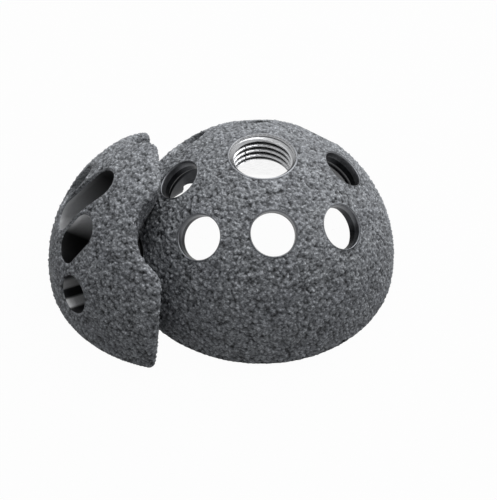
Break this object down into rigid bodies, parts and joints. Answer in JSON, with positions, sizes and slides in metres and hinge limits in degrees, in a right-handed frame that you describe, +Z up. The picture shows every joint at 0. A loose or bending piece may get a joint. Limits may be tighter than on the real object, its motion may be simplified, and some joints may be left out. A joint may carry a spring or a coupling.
{
  "type": "acetabular cup with augment",
  "caption": "Hemispherical hip cup with a porous coat, a threaded polar hole and rings of screw holes, with a slotted crescent augment nested against its flank.",
  "frame": {"origin": "centre of the footprint on the resting plane", "axes": "+X from the augment towards the cup, +Z up along the cup's axis, from the rim to the pole"},
  "size_m": [0.0708, 0.056, 0.0273],
  "materials": {
    "coated_cup": "porous",
    "coated_augment": "porous"
  },
  "bodies": {
    "root": {"cup_shell": "coated_cup", "augment": "coated_augment"}
  },
  "joints": []
}
